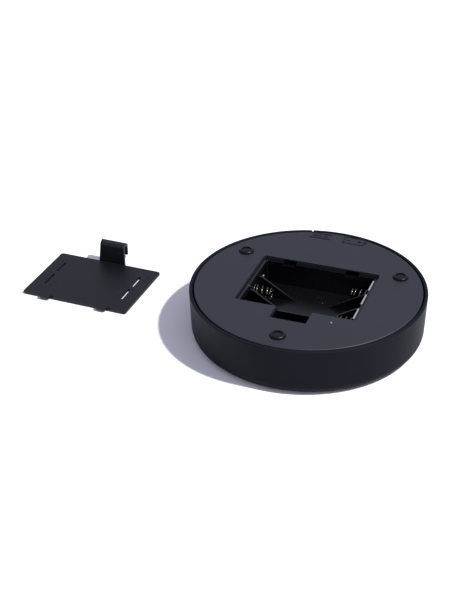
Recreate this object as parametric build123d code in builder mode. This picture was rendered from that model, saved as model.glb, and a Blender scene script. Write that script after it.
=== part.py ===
from build123d import *
from math import atan2, cos, degrees, radians, sin, tan
import os

# Compact round digital scale, shown the way it is opened for new cells: turned over on
# its platform face, with the battery door off and lying beside it.
# Origin: centre of the platform's outer face. +Z points out of the underside, and +X
# runs along the battery compartment. Millimetres.

# ---- Driving dimensions -------------------------------------------------------------
body_height = 21.3          # platform face to underside
rim_radius = 50.0           # open end of the platform's skirt
face_radius = 49.2          # skirt drafts in to this at the platform face
skirt_wall = 1.4            # platform skirt
platform_floor = 2.0        # platform plate
edge_radius = 5.0           # rounding round the platform face
float_gap = 0.65            # all-round gap that lets the platform float
cover_plate = 2.0           # base cover plate
base_wall = 1.5             # base cover skirt
base_skirt_z = 9.9          # lower edge of the base cover skirt

opening = (52.0, 38.4)      # battery opening in the base cover
opening_corner = 1.0
bay_size = (48.5, 35.0)     # inside of the battery tub
seat_depth = 1.35           # door seat below the underside
tub_floor_z = 9.1
tub_floor = 1.2
cell_pitch = 11.7           # three cells side by side
cell_axis_z = 14.35
latch_slot = (15.5, 8.8)    # finger slot beside the opening, for the door's latch
latch_pocket_z = 7.0
pocket_wall = 1.3

foot_circle = 40.0          # radius on which the three feet and sensors sit
foot_radius = 3.15
foot_proud = 1.0
foot_seat = 0.6
sensor_low = 14.9           # underside of the three sensors
load_gap = 0.45             # between each load button and its sensor

window = (33.0, 15.0)       # display window in the platform
window_y = 30.2
board_z = 8.0               # display side of the main board
board_size = (44.0, 18.0, 1.6)

door_size = (50.9, 37.2, 1.3)
door_centre = (-103.2, 3.6)
door_turn = -1.4            # degrees
latch_width = 13.0
latch_height = 11.0
latch_wall = 1.1
tab_x = 14.0                # door tabs and their slots, each side of the middle

button_at = (17.2, -24.1)

inner_top = body_height - cover_plate
half_bay = bay_size[0] / 2
half_bay_y = bay_size[1] / 2
tub_clearance = 0.05
tub_outer = (opening[0] - 2 * tub_clearance, opening[1] - 2 * tub_clearance)
opening_front = -opening[1] / 2
pocket_front = opening_front - latch_slot[1]
thin_wall_y = -half_bay_y - 0.7
foot_angles = (-90, 30, 150)
hook_angles = (90, 210, 330)
places = ("front", "right", "left")
bay_rows = {"back": cell_pitch, "middle": 0.0, "front": -cell_pitch}


def skirt_radius(height):
    """Outer radius of the drafted platform skirt at a height."""
    return face_radius + (rim_radius - face_radius) * height / body_height


def radial_plane(angle):
    """Upright plane through the middle: local X points outwards, local Y up."""
    turn = radians(angle)
    return Plane(origin=(0, 0, 0), x_dir=(cos(turn), sin(turn), 0), z_dir=(sin(turn), -cos(turn), 0))


def station_plane(angle, height):
    """Level plane at a foot: local X points outwards, local Y round the scale."""
    turn = radians(angle)
    centre = (foot_circle * cos(turn), foot_circle * sin(turn), height)
    return Plane(origin=centre, x_dir=(cos(turn), sin(turn), 0), z_dir=(0, 0, 1))


os.makedirs("parts", exist_ok=True)

# ---- Platform: a shallow skirted cup, moulded with its posts and snap hooks ---------
lens_margin = 1.45
lens_seat = 1.0
post_radius = 4.0
post_top = 13.2
spigot_radius = 1.25
spigot_depth = 2.5
hook_radius = 41.2
hook_wall = 1.6
hook_top = 14.6
hook_nose = 1.8
hook_catch_z = 11.3
hook_width = 8.0
rim_notch = (0.6, 0.8)
rim_notch_angle = 105

with BuildPart() as platform_cap:
    with BuildSketch(Plane.XZ) as cup:
        with BuildLine():
            Polyline(
                (0, 0),
                (face_radius, 0),
                (rim_radius, body_height),
                (rim_radius - skirt_wall, body_height),
                (face_radius - skirt_wall, platform_floor),
                (0, platform_floor),
                close=True,
            )
        make_face()
        fillet(cup.vertices().sort_by_distance((face_radius, 0))[0], edge_radius)
        fillet(cup.vertices().sort_by_distance((face_radius - skirt_wall, platform_floor))[0], 3.4)
        fillet(cup.vertices().sort_by_distance((rim_radius, body_height))[0], 0.45)
        fillet(cup.vertices().sort_by_distance((rim_radius - skirt_wall, body_height))[0], 0.3)
    revolve(axis=Axis.Z)
    with BuildSketch():
        with Locations((0, window_y)):
            RectangleRounded(window[0] + 2 * lens_margin, window[1] + 2 * lens_margin, 1.6)
    extrude(amount=lens_seat, mode=Mode.SUBTRACT)
    with BuildSketch(Plane.XY.offset(lens_seat)):
        with Locations((0, window_y)):
            RectangleRounded(window[0], window[1], 1.0)
    extrude(amount=platform_floor, mode=Mode.SUBTRACT)
    with BuildSketch(Plane.XY.offset(platform_floor)):
        with PolarLocations(foot_circle, 3, start_angle=foot_angles[0]):
            Circle(post_radius)
    extrude(amount=post_top - platform_floor)
    with BuildSketch(Plane.XY.offset(post_top)):
        with PolarLocations(foot_circle, 3, start_angle=foot_angles[0]):
            Circle(spigot_radius)
    extrude(amount=-spigot_depth, mode=Mode.SUBTRACT)
    for angle in hook_angles:
        with BuildSketch(radial_plane(angle)):
            with BuildLine():
                Polyline(
                    (hook_radius, platform_floor - 0.5),
                    (hook_radius + hook_wall, platform_floor - 0.5),
                    (hook_radius + hook_wall, hook_catch_z),
                    (hook_radius + hook_wall + hook_nose, hook_catch_z),
                    (hook_radius + hook_wall + hook_nose, hook_catch_z + 0.9),
                    (hook_radius + hook_wall, hook_top),
                    (hook_radius, hook_top),
                    close=True,
                )
            make_face()
        extrude(amount=hook_width / 2, both=True)
    notch_turn = radians(rim_notch_angle)
    notch_plane = Plane(
        origin=(rim_radius * cos(notch_turn), rim_radius * sin(notch_turn), body_height),
        x_dir=(cos(notch_turn), sin(notch_turn), 0),
        z_dir=(0, 0, 1),
    )
    with BuildSketch(notch_plane):
        Rectangle(4 * skirt_wall, rim_notch[0])
    extrude(amount=-rim_notch[1], mode=Mode.SUBTRACT)

platform_cap.part.label = "platform_cap"
export_step(platform_cap.part, "parts/platform_cap.step")

# ---- Display lens: clear acrylic, glued into its seat in the platform face ----------
with BuildPart() as display_lens:
    with BuildSketch(Plane.XY.offset(0.05)):
        with Locations((0, window_y)):
            RectangleRounded(window[0] + 2 * lens_margin - 0.2, window[1] + 2 * lens_margin - 0.2, 1.5)
    extrude(amount=lens_seat - 0.05)

display_lens.part.label = "display_lens"
export_step(display_lens.part, "parts/display_lens.step")

# ---- Load buttons: hard domes on the posts, one under each sensor -------------------
button_top = sensor_low - load_gap
for place, angle in zip(places, foot_angles):
    with BuildPart() as load_button:
        with BuildSketch(station_plane(angle, post_top)):
            Circle(2.6)
        extrude(amount=button_top - post_top)
        fillet(load_button.faces().sort_by(Axis.Z)[-1].edges(), 0.9)
        with BuildSketch(station_plane(angle, post_top)):
            Circle(spigot_radius - 0.03)
        extrude(amount=-(spigot_depth - 0.3))
    load_button.part.label = f"load_button_{place}"
    export_step(load_button.part, f"parts/load_button_{place}.step")

# ---- Base cover: plate and skirt of the underside, with posts and heat stakes -------
base_rim = rim_radius - skirt_wall - float_gap
lip_inner = 43.4
lip_outer = 46.5
lip_height = 1.3
lip_width = 9.0
screw_posts = [(x, y) for x in (-19.8, 19.8) for y in (23.2, 37.2)]
screw_post_radius = 2.25
switch_posts = [(12.9, -27.2), (21.5, -27.2)]
switch_post_radius = 1.9
switch_board_z = 13.2       # component side of the small switch board
stake_offset = (-2.6, 10.6)  # inwards and sideways from each sensor centre
stake_radius = 1.0
stake_depth = 3.1
stake_head = 1.8
stake_head_height = 0.8
tab_slot = (5.8, 2.6, 2.0)
tab_slot_z = 18.6
button_hole = 0.8

with BuildPart() as base_cover:
    with BuildSketch(Plane.XZ) as shell:
        with BuildLine():
            Polyline(
                (0, inner_top),
                (skirt_radius(inner_top) - skirt_wall - float_gap - base_wall, inner_top),
                (skirt_radius(base_skirt_z) - skirt_wall - float_gap - base_wall, base_skirt_z),
                (skirt_radius(base_skirt_z) - skirt_wall - float_gap, base_skirt_z),
                (base_rim, body_height),
                (0, body_height),
                close=True,
            )
        make_face()
        fillet(shell.vertices().sort_by_distance((base_rim, body_height))[0], 0.45)
    revolve(axis=Axis.Z)
    for angle in hook_angles:
        with BuildSketch(radial_plane(angle)):
            with Locations(((lip_inner + lip_outer) / 2, base_skirt_z + lip_height / 2)):
                Rectangle(lip_outer - lip_inner, lip_height)
        extrude(amount=lip_width / 2, both=True)
    with BuildSketch(Plane.XY.offset(board_z + board_size[2])):
        with Locations(*screw_posts):
            Circle(screw_post_radius)
    extrude(until=Until.NEXT)
    with BuildSketch(Plane.XY.offset(switch_board_z)):
        with Locations(*switch_posts):
            Circle(switch_post_radius)
    extrude(until=Until.NEXT)
    for angle in foot_angles:
        with BuildSketch(station_plane(angle, inner_top)):
            with Locations((stake_offset[0], stake_offset[1]), (stake_offset[0], -stake_offset[1])):
                Circle(stake_radius)
        extrude(amount=-stake_depth)
        with BuildSketch(station_plane(angle, inner_top - stake_depth + stake_head_height)):
            with Locations((stake_offset[0], stake_offset[1]), (stake_offset[0], -stake_offset[1])):
                Circle(stake_head)
        extrude(amount=-stake_head_height)
    with BuildSketch(Plane.XY.offset(inner_top)):
        RectangleRounded(opening[0], opening[1], opening_corner)
        with Locations((0, (opening_front + pocket_front) / 2 + 1)):
            Rectangle(latch_slot[0], latch_slot[1] + 2)
    extrude(amount=cover_plate, mode=Mode.SUBTRACT)
    with BuildSketch(Plane.XY.offset(tab_slot_z)):
        with Locations((-tab_x, opening[1] / 2), (tab_x, opening[1] / 2)):
            Rectangle(tab_slot[0], 2 * tab_slot[1])
    extrude(amount=tab_slot[2], mode=Mode.SUBTRACT)
    with BuildSketch(Plane.XY.offset(body_height)):
        with PolarLocations(foot_circle, 3, start_angle=foot_angles[0]):
            Circle(foot_radius + 0.15)
    extrude(amount=-foot_seat, mode=Mode.SUBTRACT)
    with BuildSketch(Plane.XY.offset(body_height)):
        with Locations(button_at):
            Circle(button_hole)
    extrude(amount=-cover_plate, mode=Mode.SUBTRACT)
    with BuildSketch(Plane.XY.offset(board_z + board_size[2])):
        with Locations(*screw_posts):
            Circle(1.0)
    extrude(amount=6.5, mode=Mode.SUBTRACT)
    with BuildSketch(Plane.XY.offset(switch_board_z)):
        with Locations(*switch_posts):
            Circle(0.8)
    extrude(amount=4.5, mode=Mode.SUBTRACT)

base_cover.part.label = "base_cover"
export_step(base_cover.part, "parts/base_cover.step")

# ---- Battery tub: open box below the cover, with dividers and the latch pocket ------
seat_z = body_height - seat_depth
flange = (56.0, 41.2, 1.2)
divider_wall = 0.9
divider_reach = 17.0
divider_top = 18.4
contact_groove = 0.55
pocket_half = latch_slot[0] / 2
catch_reach = 2.4          # each catch ledge stands this far in from the pocket's side
catch_y = (-24.2, -22.4)
catch_z = (16.65, 18.3)
lip_recess = (1.1, 8.3, 19.4)  # recess for the lips of the +X contacts, down to its floor
lead_hole_z = 12.0
lead_hole = 0.8

with BuildPart() as battery_tub:
    with BuildSketch(Plane.XY.offset(tub_floor_z - tub_floor)):
        RectangleRounded(tub_outer[0], tub_outer[1], opening_corner)
    extrude(amount=seat_z - tub_floor_z + tub_floor)
    with BuildSketch(Plane.XY.offset(inner_top)):
        RectangleRounded(flange[0], flange[1], 2.5)
    extrude(amount=-flange[2])
    with BuildSketch(Plane.XY.offset(latch_pocket_z - tub_floor)):
        with Locations((0, (pocket_front - pocket_wall + opening_front + 1.0) / 2)):
            Rectangle(latch_slot[0] + 2 * pocket_wall, opening_front + 1.0 - pocket_front + pocket_wall)
    extrude(amount=inner_top - latch_pocket_z + tub_floor)
    with BuildSketch(Plane.XY.offset(tub_floor_z)):
        RectangleRounded(bay_size[0], bay_size[1], 0.8)
    extrude(amount=body_height - tub_floor_z, mode=Mode.SUBTRACT)
    with BuildSketch(Plane.XY.offset(latch_pocket_z)):
        with Locations((0, (pocket_front + thin_wall_y) / 2)):
            Rectangle(latch_slot[0], thin_wall_y - pocket_front)
    extrude(amount=body_height - latch_pocket_z, mode=Mode.SUBTRACT)
    with BuildSketch(Plane.XY.offset(body_height - 2.8)):
        with Locations((0, -half_bay_y - 0.5)):
            Rectangle(latch_slot[0], 2.0)
    extrude(amount=body_height, mode=Mode.SUBTRACT)
    for row in (-cell_pitch / 2, cell_pitch / 2):
        for side in (-1, 1):
            with BuildSketch(Plane.XZ.offset(-row)):
                with BuildLine():
                    Polyline(
                        (side * (half_bay - contact_groove), tub_floor_z - 0.3),
                        (side * (half_bay - contact_groove), divider_top),
                        (side * (half_bay - contact_groove - 1.2), divider_top),
                        (side * (half_bay - divider_reach), tub_floor_z),
                        (side * (half_bay - divider_reach), tub_floor_z - 0.3),
                        close=True,
                    )
                make_face()
            extrude(amount=divider_wall / 2, both=True)
    for side in (-1, 1):
        with BuildSketch(Plane.YZ.offset(side * (pocket_half - catch_reach / 2))):
            with BuildLine():
                Polyline(
                    (catch_y[0], catch_z[0]),
                    (catch_y[1], catch_z[0]),
                    (catch_y[1], catch_z[0] + 0.7),
                    (catch_y[0], catch_z[1]),
                    close=True,
                )
            make_face()
        extrude(amount=catch_reach / 2 + 0.1, both=True)
    with BuildSketch(Plane.XY.offset(tab_slot_z)):
        with Locations((-tab_x, opening[1] / 2), (tab_x, opening[1] / 2)):
            Rectangle(tab_slot[0], 2 * tab_slot[1])
    extrude(amount=tab_slot[2], mode=Mode.SUBTRACT)
    with BuildSketch(Plane.XY.offset(body_height)):
        with Locations(*[(half_bay, row) for row in bay_rows.values()]):
            Rectangle(*lip_recess[:2])
    extrude(amount=lip_recess[2] - body_height, mode=Mode.SUBTRACT)
    for side, row in ((-1, bay_rows["back"]), (1, bay_rows["front"])):
        with BuildSketch(Plane.YZ.offset(side * half_bay)):
            with Locations((row, lead_hole_z)):
                Circle(lead_hole)
        extrude(amount=side * 3.0, mode=Mode.SUBTRACT)

battery_tub.part.label = "battery_tub"
export_step(battery_tub.part, "parts/battery_tub.step")

# ---- Battery contacts: nickel plated strip, slid down behind the dividers -----------
contact_sheet = 0.4
contact_clear = 0.05
contact_width = 9.4
contact_top = 18.3
contact_foot = tub_floor_z + 0.05
dimple_radius = 2.4
dimple_height = 0.7
lip_station = 8.0           # lips of the +X contacts, bent out over the door seat
lip_top = seat_z - 0.05
lip_reach = 0.75
# name: end of the tub, rows that the strip spans, row that takes a cell's positive end
contacts = {
    "contact_plate_positive": (-1, ("back",), "back"),
    "contact_link_left": (-1, ("middle", "front"), "front"),
    "contact_link_right": (1, ("middle", "back"), "middle"),
    "contact_plate_negative": (1, ("front",), None),
}
for name, (side, rows, flat_row) in contacts.items():
    middle = sum(bay_rows[row] for row in rows) / len(rows)
    width = contact_width + (len(rows) - 1) * cell_pitch
    outer_x = side * (half_bay - contact_clear)
    with BuildPart() as contact:
        with BuildSketch(Plane.YZ.offset(outer_x)):
            with Locations((middle, (contact_foot + contact_top) / 2)):
                RectangleRounded(width, contact_top - contact_foot, 0.6)
        extrude(amount=-side * contact_sheet)
        if flat_row:
            with BuildSketch(Plane.YZ.offset(outer_x - side * contact_sheet)):
                with Locations((bay_rows[flat_row], cell_axis_z)):
                    Circle(dimple_radius)
            extrude(amount=-side * dimple_height, taper=25)
        if side > 0:
            for row in rows:
                with BuildSketch(Plane.YZ.offset(outer_x)):
                    with Locations((bay_rows[row], (contact_top + lip_top) / 2)):
                        Rectangle(lip_station, lip_top - contact_top)
                extrude(amount=-contact_sheet)
                with BuildSketch(Plane.XY.offset(lip_top)):
                    with Locations((outer_x - contact_sheet + lip_reach / 2, bay_rows[row])):
                        Rectangle(lip_reach, lip_station)
                extrude(amount=-contact_sheet)
    contact.part.label = name
    export_step(contact.part, f"parts/{name}.step")

# ---- Contact springs: conical, wound from nickel plated wire ------------------------
spring_wire = 0.28          # radius of the wire
spring_turns = 5
spring_length = 7.4
spring_base = 3.2
spring_tip = 2.3
spring_cone = -degrees(atan2(spring_base - spring_tip, spring_length))
spring_face = half_bay - contact_clear - contact_sheet
springs = {
    "spring_left_middle": (-1, "middle"),
    "spring_right_back": (1, "back"),
    "spring_right_front": (1, "front"),
}
for name, (side, row) in springs.items():
    foot = (side * (spring_face - spring_wire), bay_rows[row], cell_axis_z)
    with BuildPart() as spring:
        with BuildLine() as coil:
            Helix(
                pitch=spring_length / spring_turns,
                height=spring_length,
                radius=spring_base,
                center=foot,
                direction=(-side, 0, 0),
                cone_angle=spring_cone,
            )
        with BuildSketch(Plane(origin=coil.line @ 0, z_dir=coil.line % 0)):
            Circle(spring_wire)
        sweep(path=coil.line, is_frenet=True)
    spring.part.label = name
    export_step(spring.part, f"parts/{name}.step")

# ---- Rubber feet: glued into shallow seats right under the sensors ------------------
foot_top = body_height + foot_proud
dimple = (2.05, 0.4)
for place, angle in zip(places, foot_angles):
    with BuildPart() as foot:
        with BuildSketch(station_plane(angle, body_height - foot_seat)):
            Circle(foot_radius)
        extrude(amount=foot_seat + foot_proud)
        fillet(foot.faces().sort_by(Axis.Z)[-1].edges(), 0.85)
        with BuildSketch(station_plane(angle, foot_top)):
            Circle(dimple[0])
        extrude(amount=-dimple[1], mode=Mode.SUBTRACT)
    foot.part.label = f"rubber_foot_{place}"
    export_step(foot.part, f"parts/rubber_foot_{place}.step")

# ---- Load sensors: slotted steel plates, each held in a staked plastic carrier ------
carrier = (10.4, 17.0)      # outwards, sideways
carrier_shift = -0.4
carrier_low = 14.2
carrier_pocket_top = 17.2
carrier_wall = 1.0
lug = (5.0, 5.0)
sensor_sheet = 1.0
sensor_slot = 0.9
tongue_width = 4.0
for place, angle in zip(places, foot_angles):
    with BuildPart() as sensor_carrier:
        with BuildSketch(station_plane(angle, carrier_low)):
            with Locations((carrier_shift, 0)):
                RectangleRounded(carrier[0], carrier[1], 1.0)
        extrude(amount=inner_top - carrier_low)
        with BuildSketch(station_plane(angle, inner_top)):
            with Locations((stake_offset[0], stake_offset[1]), (stake_offset[0], -stake_offset[1])):
                RectangleRounded(lug[0], lug[1], 1.2)
        extrude(amount=-(stake_depth - stake_head_height))
        with BuildSketch(station_plane(angle, carrier_low)):
            with Locations((carrier_shift, 0)):
                Rectangle(carrier[0] - 2 * carrier_wall - 1.4, carrier[1] - 2 * carrier_wall - 1.4)
        extrude(amount=carrier_pocket_top - carrier_low, mode=Mode.SUBTRACT)
        with BuildSketch(station_plane(angle, sensor_low)):
            with Locations((carrier_shift, 0)):
                Rectangle(carrier[0] - 2 * carrier_wall, carrier[1] - 2 * carrier_wall)
        extrude(amount=sensor_sheet, mode=Mode.SUBTRACT)
        with BuildSketch(station_plane(angle, inner_top)):
            with Locations((stake_offset[0], stake_offset[1]), (stake_offset[0], -stake_offset[1])):
                Circle(stake_radius + 0.05)
        extrude(amount=-stake_depth, mode=Mode.SUBTRACT)
        with BuildSketch(station_plane(angle, sensor_low + sensor_sheet)):
            with Locations((carrier_shift - carrier[0] / 2, 0)):
                Rectangle(2 * (carrier_wall + 0.8), 1.6)
        extrude(amount=carrier_pocket_top - sensor_low - sensor_sheet, mode=Mode.SUBTRACT)
    sensor_carrier.part.label = f"sensor_carrier_{place}"
    export_step(sensor_carrier.part, f"parts/sensor_carrier_{place}.step")

    with BuildPart() as load_sensor:
        with BuildSketch(station_plane(angle, sensor_low)):
            with Locations((carrier_shift, 0)):
                RectangleRounded(*(side - 2 * carrier_wall - 0.1 for side in carrier[:2]), 0.4)
            with Locations((carrier_shift, tongue_width), (carrier_shift, -tongue_width)):
                SlotOverall(5.6, sensor_slot, mode=Mode.SUBTRACT)
            with Locations((carrier_shift + 3.0, 0)):
                Rectangle(sensor_slot, 2 * tongue_width, mode=Mode.SUBTRACT)
        extrude(amount=sensor_sheet)
    load_sensor.part.label = f"load_sensor_{place}"
    export_step(load_sensor.part, f"parts/load_sensor_{place}.step")

    with BuildPart() as strain_gauge:
        with BuildSketch(station_plane(angle, sensor_low + sensor_sheet)):
            with Locations((carrier_shift - 1.2, 0)):
                Rectangle(2.6, 4.4)
        extrude(amount=0.25)
    strain_gauge.part.label = f"strain_gauge_{place}"
    export_step(strain_gauge.part, f"parts/strain_gauge_{place}.step")

# ---- Main board, display and bezel, hung on four posts under the cover --------------
bezel = (35.0, 18.0)
bezel_low = 2.9
bezel_wall = 1.0
glass = (32.6, 15.6, 1.9)
glass_low = 3.6
with BuildPart() as main_board:
    with BuildSketch(Plane.XY.offset(board_z)):
        with Locations((0, window_y)):
            RectangleRounded(board_size[0], board_size[1], 1.2)
        with Locations(*screw_posts):
            Circle(1.1, mode=Mode.SUBTRACT)
    extrude(amount=board_size[2])
main_board.part.label = "main_board"
export_step(main_board.part, "parts/main_board.step")

with BuildPart() as display_bezel:
    with BuildSketch(Plane.XY.offset(bezel_low)):
        with Locations((0, window_y)):
            RectangleRounded(bezel[0], bezel[1], 1.0)
    extrude(amount=board_z - bezel_low)
    with BuildSketch(Plane.XY.offset(bezel_low)):
        with Locations((0, window_y)):
            Rectangle(glass[0] - 2.6, glass[1] - 2.6)
    extrude(amount=glass_low - bezel_low, mode=Mode.SUBTRACT)
    with BuildSketch(Plane.XY.offset(glass_low)):
        with Locations((0, window_y)):
            Rectangle(bezel[0] - 2 * bezel_wall, bezel[1] - 2 * bezel_wall)
    extrude(amount=board_z - glass_low, mode=Mode.SUBTRACT)
display_bezel.part.label = "display_bezel"
export_step(display_bezel.part, "parts/display_bezel.step")

with BuildPart() as display_glass:
    with BuildSketch(Plane.XY.offset(glass_low)):
        with Locations((0, window_y)):
            Rectangle(glass[0], glass[1])
    extrude(amount=glass[2])
display_glass.part.label = "display_glass"
export_step(display_glass.part, "parts/display_glass.step")

with BuildPart() as display_connector:
    with BuildSketch(Plane.XY.offset(glass_low + glass[2])):
        with Locations((0, window_y - 6.4), (0, window_y + 6.4)):
            Rectangle(30.0, 1.8)
    extrude(amount=board_z - glass_low - glass[2])
display_connector.part.label = "display_connector"
export_step(display_connector.part, "parts/display_connector.step")

with BuildPart() as measuring_chip:
    with BuildSketch(Plane.XY.offset(board_z + board_size[2])):
        with Locations((0, window_y)):
            Circle(4.5)
    extrude(amount=1.0)
    fillet(measuring_chip.faces().sort_by(Axis.Z)[-1].edges(), 0.8)
measuring_chip.part.label = "measuring_chip"
export_step(measuring_chip.part, "parts/measuring_chip.step")

# ---- Screws: one node for each board's set ------------------------------------------
head_radius = 1.75
head_height = 1.2
with BuildPart() as board_screws:
    with BuildSketch(Plane.XY.offset(board_z)):
        with Locations(*screw_posts):
            Circle(head_radius)
    extrude(amount=-head_height)
    with BuildSketch(Plane.XY.offset(board_z)):
        with Locations(*screw_posts):
            Circle(0.97)
    extrude(amount=6.4)
    with BuildSketch(Plane.XY.offset(board_z - head_height)):
        with Locations(*screw_posts):
            Rectangle(2.2, 0.45)
            Rectangle(0.45, 2.2)
    extrude(amount=0.6, mode=Mode.SUBTRACT)
board_screws.part.label = "board_screws"
export_step(board_screws.part, "parts/board_screws.step")

switch_board_sheet = 1.2
with BuildPart() as switch_screws:
    with BuildSketch(Plane.XY.offset(switch_board_z - switch_board_sheet)):
        with Locations(*switch_posts):
            Circle(1.4)
    extrude(amount=-1.0)
    with BuildSketch(Plane.XY.offset(switch_board_z - switch_board_sheet)):
        with Locations(*switch_posts):
            Circle(0.77)
    extrude(amount=4.6)
    with BuildSketch(Plane.XY.offset(switch_board_z - switch_board_sheet - 1.0)):
        with Locations(*switch_posts):
            Rectangle(1.8, 0.4)
            Rectangle(0.4, 1.8)
    extrude(amount=0.5, mode=Mode.SUBTRACT)
switch_screws.part.label = "switch_screws"
export_step(switch_screws.part, "parts/switch_screws.step")

# ---- Unit button: a small plunger through the cover onto its own switch -------------
button_radius = 0.6
button_proud = 0.35
button_flange = 2.0
button_stem_low = 16.7
switch_body = (4.6, 4.6, 2.6)
with BuildPart() as switch_board:
    with BuildSketch(Plane.XY.offset(switch_board_z)):
        with Locations((button_at[0], button_at[1] - 0.9)):
            RectangleRounded(12.4, 8.4, 0.8)
        with Locations(*switch_posts):
            Circle(0.85, mode=Mode.SUBTRACT)
    extrude(amount=-switch_board_sheet)
switch_board.part.label = "switch_board"
export_step(switch_board.part, "parts/switch_board.step")

switch_top = switch_board_z + switch_body[2]
with BuildPart() as unit_switch:
    with BuildSketch(Plane.XY.offset(switch_board_z)):
        with Locations(button_at):
            Rectangle(switch_body[0], switch_body[1])
    extrude(amount=switch_body[2])
    with BuildSketch(Plane.XY.offset(switch_top)):
        with Locations(button_at):
            Circle(1.35)
    extrude(amount=-1.6, mode=Mode.SUBTRACT)
unit_switch.part.label = "unit_switch"
export_step(unit_switch.part, "parts/unit_switch.step")

with BuildPart() as switch_plunger:
    with BuildSketch(Plane.XY.offset(switch_top - 1.0)):
        with Locations(button_at):
            Circle(1.1)
    extrude(amount=button_stem_low - switch_top + 1.0)
switch_plunger.part.label = "switch_plunger"
export_step(switch_plunger.part, "parts/switch_plunger.step")

with BuildPart() as unit_button:
    with BuildSketch(Plane.XY.offset(button_stem_low)):
        with Locations(button_at):
            Circle(button_radius)
    extrude(amount=body_height + button_proud - button_stem_low)
    fillet(unit_button.faces().sort_by(Axis.Z)[-1].edges(), 0.35)
    with BuildSketch(Plane.XY.offset(inner_top - 0.1)):
        with Locations(button_at):
            Circle(button_flange)
    extrude(amount=-0.8)
unit_button.part.label = "unit_button"
export_step(unit_button.part, "parts/unit_button.step")

# ---- Leads: soldered at both ends and held inside the base --------------------------
battery_lead_radius = 0.45
signal_lead_radius = 0.5
board_top = board_z + board_size[2]
gauge_z = sensor_low + sensor_sheet + 0.55
leads = {
    "battery_lead_positive": [
        (-half_bay - 0.05, bay_rows["back"], lead_hole_z),
        (-28.4, bay_rows["back"], lead_hole_z),
        (-28.4, 19.0, lead_hole_z),
        (-24.5, 27.5, lead_hole_z),
        (-15.0, 29.0, lead_hole_z),
        (-15.0, 29.0, board_top),
    ],
    "battery_lead_negative": [
        (half_bay + 0.05, bay_rows["front"], lead_hole_z),
        (28.4, bay_rows["front"], lead_hole_z),
        (28.8, 4.0, lead_hole_z),
        (28.2, 19.0, lead_hole_z),
        (24.5, 27.5, lead_hole_z),
        (15.0, 29.0, lead_hole_z),
        (15.0, 29.0, board_top),
    ],
    "sensor_lead_right": [
        (31.6, 18.2, gauge_z),
        (27.7, 16.0, gauge_z),
        (26.6, 22.4, 15.4),
        (21.0, 27.8, 14.2),
        (8.5, 27.0, 13.6),
        (8.5, 27.0, board_top),
    ],
    "sensor_lead_left": [
        (-31.6, 18.2, gauge_z),
        (-27.7, 16.0, gauge_z),
        (-26.6, 22.4, 15.4),
        (-21.0, 27.8, 14.2),
        (-8.5, 27.0, 13.6),
        (-8.5, 27.0, board_top),
    ],
    "sensor_lead_front": [
        (0.0, -36.4, gauge_z),
        (0.0, -32.6, gauge_z),
        (-7.6, -32.2, 15.8),
        (-15.4, -28.2, 15.2),
        (-26.0, -24.0, 15.0),
        (-29.6, -13.0, 15.0),
        (-28.8, 4.0, 14.6),
        (-28.2, 14.0, 13.5),
        (-27.9, 19.8, 13.3),
        (-22.6, 20.0, 13.4),
        (-12.6, 20.3, 13.4),
        (-6.0, 23.6, 12.6),
        (-6.0, 23.6, board_top),
    ],
    "switch_lead": [
        (22.6, -22.8, switch_board_z),
        (22.6, -22.8, 15.4),
        (28.6, -17.4, 15.4),
        (29.4, -4.0, 15.2),
        (28.8, 6.0, 14.6),
        (28.2, 14.0, 13.5),
        (27.9, 19.8, 13.3),
        (22.6, 20.0, 13.4),
        (12.6, 20.3, 13.4),
        (6.0, 23.6, 12.6),
        (6.0, 23.6, board_top),
    ],
}


def bend_radii(route):
    """Largest even bend at each corner of a lead: 0.45 of the shorter run each side."""
    points = [Vector(*point) for point in route]
    radii = []
    for before, corner, after in zip(points, points[1:], points[2:]):
        shorter = min((corner - before).length, (after - corner).length)
        half_turn = radians((corner - before).get_angle(after - corner)) / 2
        radii.append(0.45 * shorter / tan(half_turn))
    return radii


for name, route in leads.items():
    radii = bend_radii(route)
    lead_radius = battery_lead_radius if name.startswith("battery") else signal_lead_radius
    with BuildPart() as lead:
        with BuildLine() as path:
            FilletPolyline(*route, radius=radii)
        with BuildSketch(Plane(origin=path.line @ 0, z_dir=path.line % 0)):
            Circle(lead_radius)
        sweep(path=path.line)
    length = sum(edge.length for edge in path.edges())
    print(name, "smallest bend", round(min(radii), 1), "length", round(length, 1))
    lead.part.label = name
    export_step(lead.part, f"parts/{name}.step")

# ---- Battery door: lies inside face up beside the scale -----------------------------
turn = radians(door_turn)
door_across = (-sin(turn), cos(turn), 0)
door_along = (cos(turn), sin(turn), 0)
door_plane = Plane(origin=(*door_centre, 0), x_dir=door_along, z_dir=(0, 0, 1))
door_side_plane = Plane(origin=(*door_centre, 0), x_dir=door_across, z_dir=door_along)
door_edge = door_size[1] / 2
slot_rows = ((-9.2, 0.0), (2.4, 11.1))
slot_columns = ((-19.4, 0.95), (18.7, 1.35))
tab_width = 5.0
tab_relief = (0.8, 1.8)
relief_shift = 3.4          # from each tab's middle to the nick beside it
tab_reach = 1.9
tab_low = 0.85
tab_thick = 0.9
grip_grooves = 3

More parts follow.
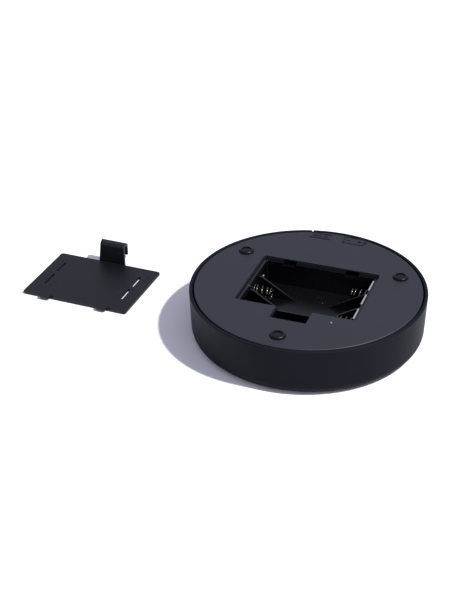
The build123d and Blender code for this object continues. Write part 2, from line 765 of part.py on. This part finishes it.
with BuildPart() as battery_door:
    with BuildSketch(door_plane):
        RectangleRounded(door_size[0], door_size[1], 1.1)
    extrude(amount=door_size[2])
    chamfer(battery_door.faces().sort_by(Axis.Z)[0].edges(), 0.2)
    with BuildSketch(door_plane.offset(tab_low)):
        with Locations((-tab_x, -door_edge), (tab_x, -door_edge)):
            RectangleRounded(tab_width, 2 * tab_reach, 1.2)
    extrude(amount=tab_thick)
    with BuildSketch(door_plane.offset(-1.0)):
        with Locations((relief_shift - tab_x, -door_edge), (relief_shift + tab_x, -door_edge)):
            Rectangle(*tab_relief)
        for low, high in slot_rows:
            for column, width in slot_columns:
                with Locations((column, (low + high) / 2)):
                    SlotOverall(high - low, width, rotation=90)
    extrude(amount=door_size[2] + 2.0, mode=Mode.SUBTRACT)
    with BuildSketch(door_plane):
        for groove in range(grip_grooves):
            with Locations((0, 9.0 + 2.4 * groove)):
                SlotOverall(14.0, 0.9)
    extrude(amount=0.3, mode=Mode.SUBTRACT)
battery_door.part.label = "battery_door"
export_step(battery_door.part, "parts/battery_door.step")

# ---- Door latch: the door's springy hook, which bends at the root -------------------
latch_y = door_edge + 0.15
latch_leg_y = latch_y + 3.3
latch_leg_low = 4.85
latch_shift = 0.65
latch_taper = 1.1           # the wall narrows by this towards its top, at one end
latch_start = latch_shift - latch_width / 2
root_radius = 0.65
nub = (1.6, 1.0)
nub_reach = 0.45
nub_rise = 3.4
hook_plane = door_side_plane.offset(latch_shift)

with BuildPart() as door_latch:
    with BuildSketch(hook_plane) as hook:
        with BuildLine():
            Polyline(
                (latch_y, root_radius),
                (latch_y, latch_height),
                (latch_leg_y + latch_wall, latch_height),
                (latch_leg_y + latch_wall, latch_leg_low),
                (latch_leg_y, latch_leg_low),
                (latch_leg_y, latch_height - latch_wall),
                (latch_y + latch_wall, latch_height - latch_wall),
                (latch_y + latch_wall, root_radius),
                close=True,
            )
        make_face()
        for corner in ((latch_y, latch_height), (latch_leg_y + latch_wall, latch_height)):
            fillet(hook.vertices().sort_by_distance(corner)[0], 1.3)
        for inner_y in (latch_leg_y, latch_y + latch_wall):
            fillet(hook.vertices().sort_by_distance((inner_y, latch_height - latch_wall))[0], 0.5)
        with Locations((latch_y + latch_wall / 2, root_radius)):
            Circle(latch_wall / 2)
    extrude(amount=latch_width / 2, both=True)
    with BuildSketch(hook_plane.offset(latch_width / 2 - 0.4)):
        with Locations((latch_y + latch_wall + nub_reach, door_size[2] + nub_rise)):
            Circle(nub[1])
    extrude(amount=-nub[0])
    wall_foot, wall_top, leg_top = (
        door_plane.from_local_coords(Vector(*point))
        for point in (
            (latch_start, latch_y, door_size[2]),
            (latch_start + latch_taper, latch_y, latch_height),
            (latch_start, latch_leg_y + latch_wall, latch_height),
        )
    )
    taper_normal = (wall_top - wall_foot).cross(leg_top - wall_foot)
    split(bisect_by=Plane(origin=wall_foot, z_dir=taper_normal), keep=Keep.BOTTOM)
door_latch.part.label = "door_latch"
export_step(door_latch.part, "parts/door_latch.step")
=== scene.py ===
import math

import bpy
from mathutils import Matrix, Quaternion, Vector


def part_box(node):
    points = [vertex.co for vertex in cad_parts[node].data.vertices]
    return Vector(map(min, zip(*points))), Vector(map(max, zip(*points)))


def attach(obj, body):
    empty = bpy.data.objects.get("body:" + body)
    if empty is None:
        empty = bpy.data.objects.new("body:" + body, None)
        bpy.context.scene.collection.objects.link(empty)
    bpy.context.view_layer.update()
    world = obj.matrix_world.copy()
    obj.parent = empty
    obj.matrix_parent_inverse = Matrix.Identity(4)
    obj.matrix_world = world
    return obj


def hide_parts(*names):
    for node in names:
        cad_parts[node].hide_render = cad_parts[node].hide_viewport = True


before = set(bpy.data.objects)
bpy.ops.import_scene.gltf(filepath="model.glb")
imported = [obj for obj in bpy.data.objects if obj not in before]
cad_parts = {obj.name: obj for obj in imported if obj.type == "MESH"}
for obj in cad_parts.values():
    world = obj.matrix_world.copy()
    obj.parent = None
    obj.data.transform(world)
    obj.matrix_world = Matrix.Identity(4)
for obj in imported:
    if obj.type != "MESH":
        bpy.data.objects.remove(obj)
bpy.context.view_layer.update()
bpy.context.scene.view_settings.view_transform = "Standard"

# ---- Camera -------------------------------------------------------------------------
# A long lens from the front right, 32 degrees above the table, far enough back to take
# in the scale and the battery door that lies beside it.
camera_aim = Vector((-0.0375, 0.0062, 0.0))
camera_reach = 0.5657
camera_turn = math.radians(20.81)
camera_pitch = math.radians(31.8)
camera_roll = math.radians(-0.69)
camera_look = Vector((
    -math.sin(camera_turn) * math.cos(camera_pitch),
    math.cos(camera_turn) * math.cos(camera_pitch),
    -math.sin(camera_pitch),
))
camera_data = bpy.data.cameras.new("camera")
camera_data.lens = 75.4
camera = bpy.data.objects.new("camera", camera_data)
bpy.context.collection.objects.link(camera)
camera.location = camera_aim - camera_look * camera_reach
camera.rotation_mode = "QUATERNION"
camera.rotation_quaternion = camera_look.to_track_quat("-Z", "Y") @ Quaternion((0, 0, 1), camera_roll)
bpy.context.scene.camera = camera

# ---- Platform cap -------------------------------------------------------------------
# The weighing platform: a shallow cup injection moulded in black ABS, left satin by a
# finely etched mould. The scale lies on its outer face, so the skirt is what shows.
MM = 0.001


def hex_colour(code):
    """Linear colour of an sRGB hex value."""
    parts = [int(code[i:i + 2], 16) / 255 for i in (1, 3, 5)]
    linear = [p / 12.92 if p <= 0.04045 else ((p + 0.055) / 1.055) ** 2.4 for p in parts]
    return (*linear, 1.0)


def add_node(material, kind, settings=None, links=None):
    """Adds a node. Settings are its properties or input values, links are input: (node, socket)."""
    node = material.node_tree.nodes.new(kind)
    for name, value in (settings or {}).items():
        if isinstance(name, str) and hasattr(node, name):
            setattr(node, name, value)
        else:
            node.inputs[name].default_value = value
    for name, (source, socket) in (links or {}).items():
        material.node_tree.links.new(source.outputs[socket], node.inputs[name])
    return node


def new_material(name):
    """A material with an empty node tree and its place in object coordinates."""
    material = bpy.data.materials.new(name)
    material.use_nodes = True
    material.node_tree.nodes.clear()
    return material, add_node(material, "ShaderNodeTexCoord")


def output(material, shader):
    """Joins the shader to the material's output."""
    add_node(material, "ShaderNodeOutputMaterial", {}, {"Surface": (shader, 0)})
    return material


def moulded_abs(name, colour, flow_colour, roughness, grain_mm, grain_depth_mm, shine=0.5):
    """ABS as the mould leaves it: an even etched grain that softens the light, and slow
    changes of shade where the melt flowed."""
    material, place = new_material(name)
    flow_mm = 18
    gloss_spread = 0.06
    flow = add_node(material, "ShaderNodeTexNoise", {"Scale": 1 / (flow_mm * MM), "Detail": 3.0},
                    {"Vector": (place, "Object")})
    grain = add_node(material, "ShaderNodeTexNoise", {"Scale": 1 / (grain_mm * MM), "Detail": 2.0},
                     {"Vector": (place, "Object")})
    shade = add_node(material, "ShaderNodeMix",
                     {"data_type": "RGBA", 6: hex_colour(colour), 7: hex_colour(flow_colour)},
                     {0: (flow, "Fac")})
    gloss = add_node(material, "ShaderNodeMapRange",
                     {"To Min": roughness - gloss_spread, "To Max": roughness + gloss_spread},
                    {"Value": (grain, "Fac")})
    bump = add_node(material, "ShaderNodeBump", {"Strength": 0.6, "Distance": grain_depth_mm * MM},
                    {"Height": (grain, "Fac")})
    shader = add_node(material, "ShaderNodeBsdfPrincipled", {"IOR": 1.53, "Specular IOR Level": shine},
                      {"Base Color": (shade, 2), "Roughness": (gloss, "Result"), "Normal": (bump, "Normal")})
    return output(material, shader)


def select_only(piece):
    """Selects one piece and makes it active."""
    bpy.ops.object.select_all(action="DESELECT")
    piece.select_set(True)
    bpy.context.view_layer.objects.active = piece


def moulded_copy(node, name, material, body, edge_mm):
    """Stands in for a carried-over piece, with its sharp edges eased as a mould leaves them."""
    weld_gap = 0.002 * MM
    flat_within, bevel_from, smooth_below = (math.radians(angle) for angle in (0.6, 35, 50))
    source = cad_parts[node]
    piece = bpy.data.objects.new(name, source.data.copy())
    bpy.context.collection.objects.link(piece)
    select_only(piece)
    bpy.ops.object.mode_set(mode="EDIT")
    bpy.ops.mesh.select_all(action="SELECT")
    bpy.ops.mesh.customdata_custom_splitnormals_clear()
    bpy.ops.mesh.remove_doubles(threshold=weld_gap)
    bpy.ops.mesh.dissolve_limited(angle_limit=flat_within)
    bpy.ops.object.mode_set(mode="OBJECT")
    bevel = piece.modifiers.new("eased edges", "BEVEL")
    bevel.width = edge_mm * MM
    bevel.segments = 2
    bevel.limit_method = "ANGLE"
    bevel.angle_limit = bevel_from
    bpy.ops.object.modifier_apply(modifier=bevel.name)
    bpy.ops.object.shade_smooth_by_angle(angle=smooth_below)
    even = piece.modifiers.new("flat faces stay flat", "WEIGHTED_NORMAL")
    even.keep_sharp = True
    bpy.ops.object.modifier_apply(modifier=even.name)
    piece.data.materials.clear()
    piece.data.materials.append(material)
    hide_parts(node)
    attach(piece, body)


# Satin black ABS: the grain is 0.5 mm, coarser than the real etching, so that it shows.
skirt_abs = moulded_abs("satin_black_abs", "#15161B", "#1A1B21", 0.46, 0.5, 0.012, 0.04)
moulded_copy("platform_cap", "platform_cap_moulding", skirt_abs, "platform", 0.15)

# ---- Display lens and load buttons --------------------------------------------------
# The lens is a smoke acrylic plate glued into the platform. The load buttons are natural
# nylon domes pressed into the platform's posts, where they bear on the sensors.


def dress(node, material):
    """Gives a carried-over piece its finish."""
    for material_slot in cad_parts[node].material_slots:
        material_slot.material = material


# Smoke acrylic: nearly mirror smooth, grey when looked through.
smoke_acrylic, place = new_material("smoke_acrylic")
haze = add_node(smoke_acrylic, "ShaderNodeTexNoise", {"Scale": 1 / (9 * MM), "Detail": 2.0},
                {"Vector": (place, "Object")})
polish = add_node(smoke_acrylic, "ShaderNodeMapRange", {"To Min": 0.03, "To Max": 0.09},
                  {"Value": (haze, "Fac")})
shader = add_node(smoke_acrylic, "ShaderNodeBsdfPrincipled",
                  {"IOR": 1.49, "Transmission Weight": 0.85, "Base Color": hex_colour("#5A5C60")},
                  {"Roughness": (polish, "Result")})
dress("display_lens", output(smoke_acrylic, shader))

# Natural nylon: off-white with a soft, waxy shine.
natural_nylon = moulded_abs("natural_nylon", "#D8D4C6", "#E4E1D6", 0.5, 0.4, 0.006)
for place_name in ("front", "right", "left"):
    dress(f"load_button_{place_name}", natural_nylon)

# ---- Base cover ---------------------------------------------------------------------
# The underside: a dark slate ABS plate, injection moulded with a fine spark texture, and
# soft edges round its battery opening, latch slot, tab slots and foot seats.
# Spark-textured ABS: a wide, dull highlight that a 0.6 mm grain breaks up.
cover_abs = moulded_abs("spark_textured_slate_abs", "#151720", "#1B1D28", 0.55, 0.6, 0.02)
moulded_copy("base_cover", "base_cover_moulding", cover_abs, "base", 0.15)

# ---- Cover markings -----------------------------------------------------------------
# Two plain raised signs near the back edge, moulded with the cover: a short bar and a
# three-sided head between two rails, and the outline of a cell with its ends marked.
sign_rise = 0.12 * MM
sign_lift = 0.04 * MM
sign_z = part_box("base_cover")[1].z + sign_lift
head_radius = 1.3 * MM
# The same ABS, polished in the mould where the signs are cut, so that they look darker.
sign_abs = moulded_abs("polished_slate_abs", "#08080B", "#0C0C10", 0.3, 0.6, 0.004, 0.2)


def raised_sign(name, bars, heads=()):
    """Joins low bars (x, y, length, width in mm) and three-sided heads (x, y)."""
    bpy.ops.object.select_all(action="DESELECT")
    strokes = []
    for x, y, length, width in bars:
        bpy.ops.mesh.primitive_cube_add(size=1.0, location=(x * MM, y * MM, sign_z),
                                        scale=(length * MM, width * MM, sign_rise))
        strokes.append(bpy.context.view_layer.objects.active)
    for x, y in heads:
        bpy.ops.mesh.primitive_cylinder_add(vertices=3, radius=head_radius, depth=sign_rise,
                                            location=(x * MM, y * MM, sign_z))
        strokes.append(bpy.context.view_layer.objects.active)
    bpy.ops.object.select_all(action="DESELECT")
    for stroke in strokes:
        stroke.select_set(True)
    bpy.context.view_layer.objects.active = strokes[0]
    bpy.ops.object.join()
    bpy.ops.object.transform_apply(location=True, rotation=True, scale=True)
    sign = bpy.context.view_layer.objects.active
    sign.name = name
    sign.data.materials.append(sign_abs)
    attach(sign, "base")


door_rails = [(-7.8, 46.0, 9.6, 0.9), (-7.8, 42.0, 9.6, 0.9)]
raised_sign("door_sign", door_rails + [(-9.6, 44.0, 4.0, 0.8)], [(-5.6, 44.0)])
cell_outline = [(7.5, 46.6, 9.4, 0.6), (7.5, 41.4, 9.4, 0.6), (2.9, 44.0, 0.6, 5.6), (12.1, 44.0, 0.6, 5.6)]
cell_cap = [(12.9, 44.0, 0.9, 2.2)]
minus_and_plus = [(5.1, 44.0, 2.0, 0.6), (9.9, 44.0, 2.0, 0.6), (9.9, 44.0, 0.6, 2.0)]
raised_sign("cell_sign", cell_outline + cell_cap + minus_and_plus)

# ---- Battery tub --------------------------------------------------------------------
# The open bay: plain moulded ABS with draught-smooth walls, three troughs with sloped
# dividers, a seat for the door, and the deep pocket that takes the door's hook.
# Plain ABS: almost black, with a tighter gloss than the cover.
tub_abs = moulded_abs("plain_dark_abs", "#060608", "#09090D", 0.27, 0.9, 0.01, 0.4)
moulded_copy("battery_tub", "battery_tub_moulding", tub_abs, "base", 0.16)

# ---- Battery contacts ---------------------------------------------------------------
# Stamped nickel-plated strip, slid into grooves at both ends of the bay. The dimpled
# stations meet a cell's positive end.


def plated_strip(name, dull, bright):
    """Nickel-plated strip: streaks along the rolling direction, where the plating dulled."""
    material, place = new_material(name)
    rolling = add_node(material, "ShaderNodeMapping", {"Scale": (1.0, 12.0, 1.0)},
                       {"Vector": (place, "Object")})
    streaks = add_node(material, "ShaderNodeTexNoise", {"Scale": 1 / (2.4 * MM), "Detail": 3.0},
                       {"Vector": (rolling, "Vector")})
    tint = add_node(material, "ShaderNodeMix",
                    {"data_type": "RGBA", 6: hex_colour(dull), 7: hex_colour(bright)},
                    {0: (streaks, "Fac")})
    brushed = add_node(material, "ShaderNodeMapRange", {"To Min": 0.24, "To Max": 0.4},
                       {"Value": (streaks, "Fac")})
    shader = add_node(material, "ShaderNodeBsdfPrincipled", {"Metallic": 1.0},
                      {"Base Color": (tint, 2), "Roughness": (brushed, "Result")})
    return output(material, shader)


# Bright plating, whose bent-out lips show as pale lines along the opening's edge.
plain_strip = plated_strip("nickel_plated_strip", "#D6D2CA", "#F2F0EC")
# Painted shade: the same nickel plating at the other end, painted dark brown because little light reaches it
# there.
shaded_strip = plated_strip("shaded_nickel_strip", "#1D1A17", "#35312C")
for node, strip in (
    ("contact_plate_negative", plain_strip),
    ("contact_link_right", plain_strip),
    # The contacts at the left end carry the painted shade.
    ("contact_plate_positive", shaded_strip),
    ("contact_link_left", shaded_strip),
):
    moulded_copy(node, node + "_strip", strip, "base", 0.06)

# ---- Contact springs ----------------------------------------------------------------
# Conical compression springs wound from nickel-plated wire, with a nearly closed turn at
# each end. Each is welded to the strip behind it.
spring_wire = 0.3 * MM
spring_turns = 3
end_turn = 0.9
steps_per_turn = 28
tip_share = 0.72


def spring_point(turn, length, base_radius, tip_radius):
    """A point of the coil: closed at both ends, evenly wound between."""
    total = spring_turns + 2 * end_turn
    wound = min(max((turn - end_turn) / spring_turns, 0.0), 1.0)
    radius = base_radius + (tip_radius - base_radius) * turn / total
    rise = wound * (length - 4 * spring_wire) + spring_wire
    closed = min(turn, end_turn) + max(turn - spring_turns - end_turn, 0.0)
    rise += spring_wire * closed / end_turn
    angle = 2 * math.pi * turn
    return rise, radius * math.cos(angle), radius * math.sin(angle)


# Drawn wire: a tight gloss over a warm grey, so the coils show as thin bright lines. The grey is painted
# shade, far darker than the nickel's own colour.
shaded_nickel, place = new_material("shaded_nickel_wire")
draw_lines = add_node(shaded_nickel, "ShaderNodeTexNoise", {"Scale": 1 / (0.6 * MM), "Detail": 2.0},
                      {"Vector": (place, "Object")})
sheen = add_node(shaded_nickel, "ShaderNodeMapRange", {"To Min": 0.1, "To Max": 0.2},
                 {"Value": (draw_lines, "Fac")})
# Painted shade: both greys sit well below the colour of nickel.
tint = add_node(shaded_nickel, "ShaderNodeMix",
                {"data_type": "RGBA", 6: hex_colour("#5A554F"), 7: hex_colour("#86807A")},
                {0: (draw_lines, "Fac")})
shader = add_node(shaded_nickel, "ShaderNodeBsdfPrincipled", {"Metallic": 1.0},
                  {"Base Color": (tint, 2), "Roughness": (sheen, "Result")})
output(shaded_nickel, shader)

for node, side in (("spring_left_middle", -1), ("spring_right_back", 1), ("spring_right_front", 1)):
    low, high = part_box(node)
    centre = (low + high) / 2
    coil_length = high.x - low.x
    base_radius = (high.y - low.y) / 2 - spring_wire
    wall_x = high.x if side > 0 else low.x
    curve = bpy.data.curves.new(node + "_coil", "CURVE")
    curve.dimensions = "3D"
    curve.bevel_depth = spring_wire
    curve.bevel_resolution = 4
    curve.use_fill_caps = True
    spline = curve.splines.new("POLY")
    count = int((spring_turns + 2 * end_turn) * steps_per_turn)
    spline.points.add(count)
    for index in range(count + 1):
        rise, across, up = spring_point(index / steps_per_turn, coil_length, base_radius,
                                        base_radius * tip_share)
        spline.points[index].co = (wall_x - side * rise, centre.y + across, centre.z + up, 1.0)
    coil = bpy.data.objects.new(node + "_coil", curve)
    bpy.context.collection.objects.link(coil)
    select_only(coil)
    bpy.ops.object.convert(target="MESH")
    coil = bpy.context.view_layer.objects.active
    bpy.ops.object.shade_smooth()
    coil.data.materials.clear()
    coil.data.materials.append(shaded_nickel)
    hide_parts(node)
    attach(coil, "base")

# ---- Rubber feet --------------------------------------------------------------------
# Compression-moulded silicone rubber, near black and slightly shiny, with a shallow dimple
# and a rolled rim. Each is glued into its seat right under a sensor.
# Silicone rubber: nearly black, and fine dust in the skin breaks up its shine.
foot_rubber, place = new_material("dark_silicone_rubber")
dust = add_node(foot_rubber, "ShaderNodeTexNoise", {"Scale": 1 / (0.9 * MM), "Detail": 4.0},
                {"Vector": (place, "Object")})
bloom = add_node(foot_rubber, "ShaderNodeMix",
                 {"data_type": "RGBA", 6: hex_colour("#08070A"), 7: hex_colour("#100E12")},
                 {0: (dust, "Fac")})
wear = add_node(foot_rubber, "ShaderNodeMapRange", {"To Min": 0.26, "To Max": 0.44},
                {"Value": (dust, "Fac")})
skin = add_node(foot_rubber, "ShaderNodeBump", {"Strength": 0.4, "Distance": 0.02 * MM},
                {"Height": (dust, "Fac")})
shader = add_node(foot_rubber, "ShaderNodeBsdfPrincipled", {"IOR": 1.42, "Specular IOR Level": 0.3},
                  {"Base Color": (bloom, 2), "Roughness": (wear, "Result"), "Normal": (skin, "Normal")})
output(foot_rubber, shader)
for place_name in ("front", "right", "left"):
    dress(f"rubber_foot_{place_name}", foot_rubber)

# ---- Load sensors -------------------------------------------------------------------
# Slotted spring-steel plates with a film gauge bonded to each tongue, held in white ABS
# carriers that are heat-staked to the cover.
# White ABS: chalky, with a half-matt skin.
white_abs = moulded_abs("white_abs", "#CFCFCA", "#DADAD6", 0.5, 0.5, 0.01)
# Spring steel: pale metal with fine grinding streaks.
stamped_steel, place = new_material("stamped_spring_steel")
grind = add_node(stamped_steel, "ShaderNodeMapping", {"Scale": (8.0, 1.0, 1.0)},
                 {"Vector": (place, "Object")})
lines = add_node(stamped_steel, "ShaderNodeTexNoise", {"Scale": 1 / (1.6 * MM), "Detail": 4.0},
                 {"Vector": (grind, "Vector")})
steel_gloss = add_node(stamped_steel, "ShaderNodeMapRange", {"To Min": 0.25, "To Max": 0.45},
                       {"Value": (lines, "Fac")})
steel_tint = add_node(stamped_steel, "ShaderNodeMix",
                      {"data_type": "RGBA", 6: hex_colour("#A6A6A4"), 7: hex_colour("#C4C4C2")},
                      {0: (lines, "Fac")})
shader = add_node(stamped_steel, "ShaderNodeBsdfPrincipled", {"Metallic": 1.0},
                  {"Base Color": (steel_tint, 2), "Roughness": (steel_gloss, "Result")})
output(stamped_steel, shader)

# Polyimide film: glossy amber, banded where the metal grid lies under it.
polyimide, place = new_material("polyimide_film")
grid = add_node(polyimide, "ShaderNodeTexWave",
                {"Scale": 1 / (1.2 * MM), "Distortion": 0.0, "bands_direction": "Y"},
                {"Vector": (place, "Object")})
foil = add_node(polyimide, "ShaderNodeMix",
                {"data_type": "RGBA", 6: hex_colour("#A8621C"), 7: hex_colour("#C98B3C")},
                {0: (grid, "Fac")})
shader = add_node(polyimide, "ShaderNodeBsdfPrincipled", {"IOR": 1.6, "Roughness": 0.25},
                  {"Base Color": (foil, 2)})
output(polyimide, shader)
for place_name in ("front", "right", "left"):
    dress(f"sensor_carrier_{place_name}", white_abs)
    dress(f"load_sensor_{place_name}", stamped_steel)
    dress(f"strain_gauge_{place_name}", polyimide)

# ---- Main board and display ---------------------------------------------------------
# Glass-epoxy board under green solder mask, a potted chip, and the liquid crystal glass
# held to the board by a black bezel over two elastomer strips.
# Solder mask: green lacquer, lighter in thin lines where tracks run under it.
solder_mask, place = new_material("green_solder_mask")
tracks = add_node(solder_mask, "ShaderNodeTexBrick",
                  {"Scale": 1 / (9 * MM), "Mortar Size": 0.03, "Color1": hex_colour("#14562E"),
                   "Color2": hex_colour("#17602F"), "Mortar": hex_colour("#2C8146")},
                  {"Vector": (place, "Object")})
shader = add_node(solder_mask, "ShaderNodeBsdfPrincipled", {"IOR": 1.55, "Roughness": 0.3},
                  {"Base Color": (tracks, "Color")})
output(solder_mask, shader)
dress("main_board", solder_mask)
dress("switch_board", solder_mask)

# Plain black ABS: near black and half glossy.
black_abs = moulded_abs("plain_black_abs", "#0E0E10", "#141417", 0.4, 0.8, 0.01)
dress("display_bezel", black_abs)
dress("unit_switch", black_abs)
# Potting resin: black and wet-looking, with slow waves.
potting = moulded_abs("potting_resin", "#08080A", "#0C0C0E", 0.18, 2.5, 0.02)
dress("measuring_chip", potting)

# Unpowered liquid crystal glass: grey-green under a clear gloss.
crystal_glass, place = new_material("liquid_crystal_glass")
film = add_node(crystal_glass, "ShaderNodeTexNoise", {"Scale": 1 / (12 * MM)}, {"Vector": (place, "Object")})
film_tint = add_node(crystal_glass, "ShaderNodeMix",
                     {"data_type": "RGBA", 6: hex_colour("#7C8678"), 7: hex_colour("#8C9686")},
                     {0: (film, "Fac")})
shader = add_node(crystal_glass, "ShaderNodeBsdfPrincipled", {"IOR": 1.52, "Roughness": 0.08},
                  {"Base Color": (film_tint, 2)})
dress("display_glass", output(crystal_glass, shader))

# Zebra elastomer: dull rubber in dark and pinkish bands.
zebra, place = new_material("zebra_elastomer")
bands = add_node(zebra, "ShaderNodeTexWave", {"Scale": 1 / (2.0 * MM), "bands_direction": "X"},
                 {"Vector": (place, "Object")})
band_tint = add_node(zebra, "ShaderNodeMix",
                     {"data_type": "RGBA", 6: hex_colour("#24242A"), 7: hex_colour("#C8A6A0")},
                     {0: (bands, "Fac")})
shader = add_node(zebra, "ShaderNodeBsdfPrincipled", {"IOR": 1.41, "Roughness": 0.55},
                  {"Base Color": (band_tint, 2)})
dress("display_connector", output(zebra, shader))
dress("board_screws", stamped_steel)
dress("switch_screws", stamped_steel)

# ---- Unit button --------------------------------------------------------------------
# An ABS plunger whose tip stands just proud of the cover, on the plunger of a
# small snap switch. Its grey is painted highlight.
# Painted highlight: the ABS is painted a light grey, lighter than anything round it, to stand in for the
# glint on the tip; its smooth skin gives a soft highlight too.
button_highlight_abs = moulded_abs("painted_highlight_grey_abs", "#5C5E64", "#6C6E74", 0.36, 0.8, 0.004)
dress("unit_button", button_highlight_abs)
dress("switch_plunger", black_abs)

# ---- Leads --------------------------------------------------------------------------
# Stranded copper in soft vinyl: red and black from the battery contacts, white from the
# sensors and blue from the switch.
# Vinyl: one even colour with a broad, soft highlight.
for node, colour, light in (
    ("battery_lead_positive", "#A01818", "#B42222"),
    ("battery_lead_negative", "#0C0C0E", "#131316"),
    ("sensor_lead_front", "#C8C8C4", "#D6D6D2"),
    ("sensor_lead_right", "#C8C8C4", "#D6D6D2"),
    ("sensor_lead_left", "#C8C8C4", "#D6D6D2"),
    ("switch_lead", "#1C3A80", "#24468F"),
):
    dress(node, moulded_abs("vinyl_" + node, colour, light, 0.38, 1.2, 0.01))

# ---- Battery door -------------------------------------------------------------------
# The loose door, inside face up: a thin ABS plate with two tabs, four slots and eased
# edges, and its springy hook.
# Plain slate ABS: darker and a little glossier than the cover.
door_abs = moulded_abs("plain_slate_abs", "#0A0B0F", "#0E0F15", 0.46, 0.8, 0.012, 0.3)
moulded_copy("battery_door", "battery_door_moulding", door_abs, "door", 0.14)
moulded_copy("door_latch", "door_latch_moulding", door_abs, "latch", 0.12)

# ---- Ejector marks ------------------------------------------------------------------
# Faint rings that the ejector pins left in the plastic: four on the door's inside face and
# one on the bay's floor.
ring_thickness = 0.16 * MM
ring_flatness = 0.4
door_ring_radius = 1.7 * MM
door_ring_places = ((-22.0, 11.2), (22.0, 11.2), (-16.0, -7.2), (16.0, -7.2))
door_plate = 1.3 * MM
door_turn = math.radians(-1.4)
bay_ring_radius = 2.5 * MM
bay_ring_centre = (2.5 * MM, 10.5 * MM, 9.1 * MM)


def ejector_ring(name, centre, radius, material, body):
    """A flattened ring just proud of a moulded face."""
    bpy.ops.object.select_all(action="DESELECT")
    bpy.ops.mesh.primitive_torus_add(major_radius=radius, minor_radius=ring_thickness,
                                     major_segments=40, minor_segments=8, location=centre)
    ring = bpy.context.view_layer.objects.active
    ring.name = name
    ring.scale.z = ring_flatness
    bpy.ops.object.transform_apply(location=True, rotation=True, scale=True)
    bpy.ops.object.shade_smooth()
    ring.data.materials.append(material)
    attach(ring, body)


door_low, door_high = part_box("battery_door")
door_middle = (door_low + door_high) / 2
for index, (along, across) in enumerate(door_ring_places):
    x = door_middle.x + (along * math.cos(door_turn) - across * math.sin(door_turn)) * MM
    y = door_middle.y + (along * math.sin(door_turn) + across * math.cos(door_turn)) * MM
    ejector_ring(f"door_ring_{index}", (x, y, door_low.z + door_plate), door_ring_radius, door_abs,
                 "door")
ejector_ring("bay_ring", bay_ring_centre, bay_ring_radius, tub_abs, "base")

# ---- Table and light ----------------------------------------------------------------
# A plain pale table, one small soft light high on the right and a little to the front, and
# an even surround that is faintly blue.
table_drop = 0.05 * MM
bpy.ops.object.select_all(action="DESELECT")
bpy.ops.mesh.primitive_grid_add(x_subdivisions=4, y_subdivisions=4, size=6.0, location=(0, 0, -table_drop))
table = bpy.context.view_layer.objects.active
table.name = "table"
# Pale card: white without shine, so that only shadows mark it.
table_card, place = new_material("pale_card")
fibre = add_node(table_card, "ShaderNodeTexNoise", {"Scale": 1 / (3 * MM), "Detail": 3.0},
                 {"Vector": (place, "Object")})
card_tint = add_node(table_card, "ShaderNodeMix",
                     {"data_type": "RGBA", 6: hex_colour("#F2F2F4"), 7: hex_colour("#F8F8FA")},
                     {0: (fibre, "Fac")})
shader = add_node(table_card, "ShaderNodeBsdfDiffuse", {"Roughness": 0.5}, {"Color": (card_tint, 2)})
table.data.materials.append(output(table_card, shader))

world = bpy.data.worlds.new("surround")
bpy.context.scene.world = world
world.use_nodes = True
world.node_tree.nodes["Background"].inputs["Color"].default_value = (0.92, 0.95, 1.16, 1.0)
world.node_tree.nodes["Background"].inputs["Strength"].default_value = 0.5

key_data = bpy.data.lights.new("key_light", "AREA")
key_data.shape = "DISK"
key_data.size = 0.11
key_data.energy = 48
key = bpy.data.objects.new("key_light", key_data)
bpy.context.collection.objects.link(key)
key_turn = math.radians(-6.5)
key_height = math.radians(54.3)
key_distance = 2.0
key_way = Vector((
    math.cos(key_turn) * math.cos(key_height),
    math.sin(key_turn) * math.cos(key_height),
    math.sin(key_height),
))
key.location = key_way * key_distance
key.rotation_mode = "QUATERNION"
key.rotation_quaternion = (-key_way).to_track_quat("-Z", "Y")
